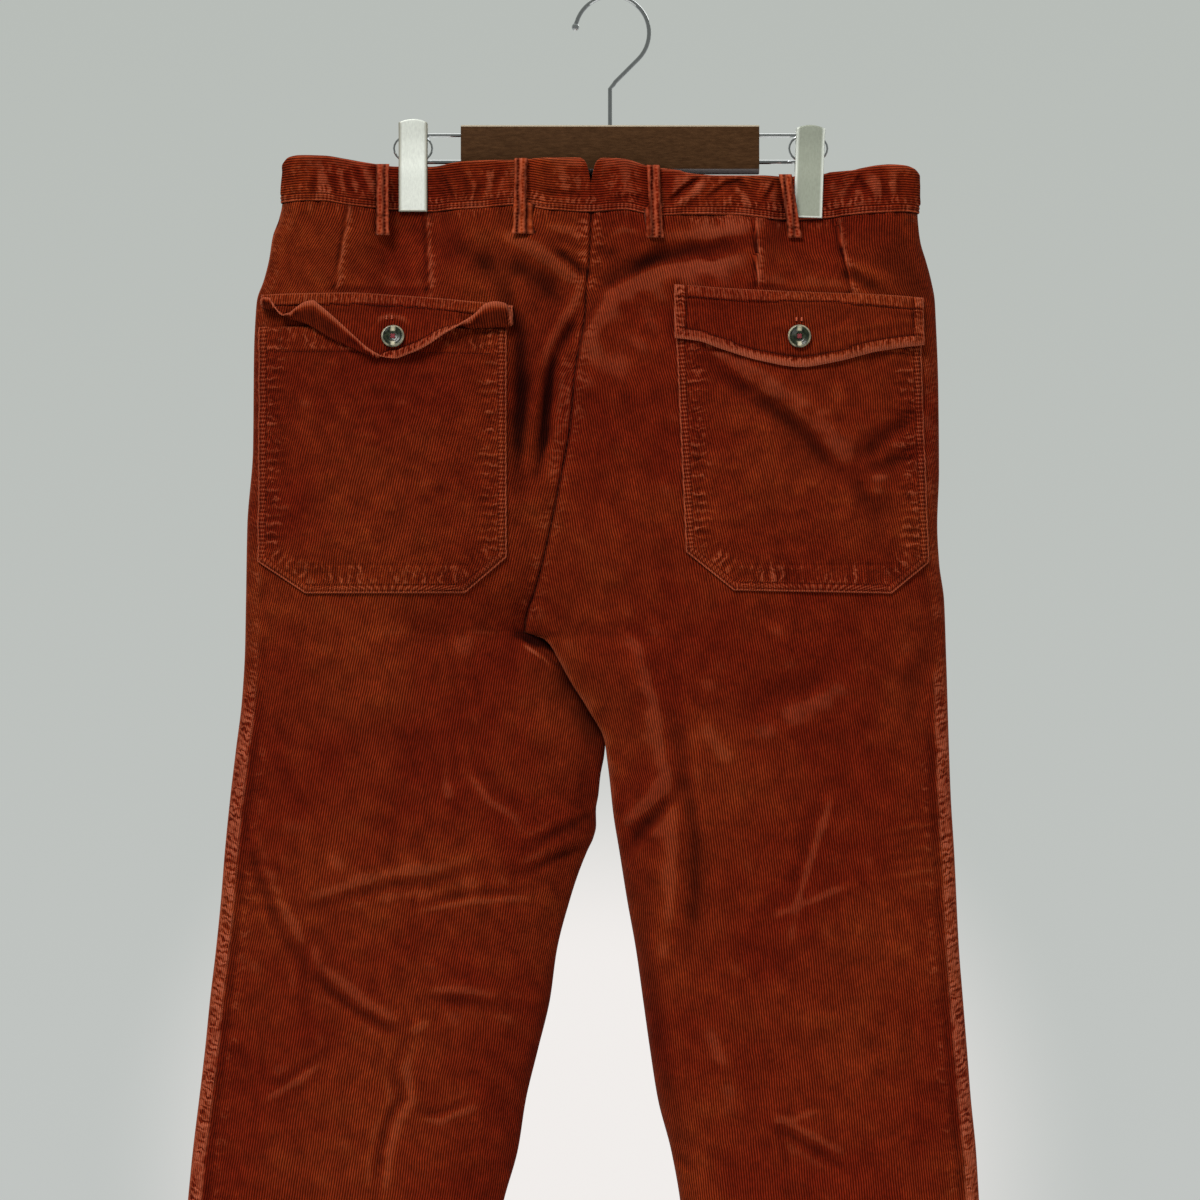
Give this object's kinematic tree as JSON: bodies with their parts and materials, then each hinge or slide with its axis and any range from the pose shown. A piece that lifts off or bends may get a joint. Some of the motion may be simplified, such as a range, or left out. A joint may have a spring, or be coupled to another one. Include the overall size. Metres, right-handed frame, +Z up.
{
  "type": "corduroy trousers on a clip hanger",
  "caption": "Hollow pair of straight corduroy trousers hung by the waistband from a wooden bar hanger with metal clips, with back patch pockets, buttoned flaps and open legs.",
  "frame": {"origin": "inside of the top of the hanger's hook, where it hangs on a rail", "axes": "+Z up, -Y out of the back of the trousers, +X towards the wearer's right"},
  "size_m": [0.627, 0.0806, 1.2082],
  "materials": {
    "corduroy": "fine-wale pile, rust brown",
    "pocket_corduroy": "fine-wale pile, worn edges",
    "band_corduroy": "fine-wale pile across the band",
    "horn": "polished horn pattern",
    "wood": "dark stained, satin",
    "chrome": "polished wire",
    "clip_steel": "pressed and plated sheet"
  },
  "bodies": {
    "root": {"back_left": "corduroy", "back_right": "corduroy", "front_left": "corduroy", "front_right": "corduroy", "fly": "corduroy", "waistband_left": "band_corduroy", "waistband_right": "band_corduroy", "belt_loop_1": "band_corduroy", "belt_loop_2": "band_corduroy", "belt_loop_3": "band_corduroy", "belt_loop_4": "band_corduroy", "belt_loop_5": "band_corduroy", "belt_loop_6": "band_corduroy", "pocket_left": "pocket_corduroy", "pocket_right": "pocket_corduroy", "flap_left": "pocket_corduroy", "flap_right": "pocket_corduroy", "button_left": "horn", "button_right": "horn", "button_waist": "horn", "hanger_hook": "chrome", "hanger_bar": "wood", "hanger_wire_left": "chrome", "hanger_wire_right": "chrome", "clip_left_back": "clip_steel", "clip_left_front": "clip_steel", "clip_left_spring": "chrome", "clip_right_back": "clip_steel", "clip_right_front": "clip_steel", "clip_right_spring": "chrome"}
  },
  "joints": []
}
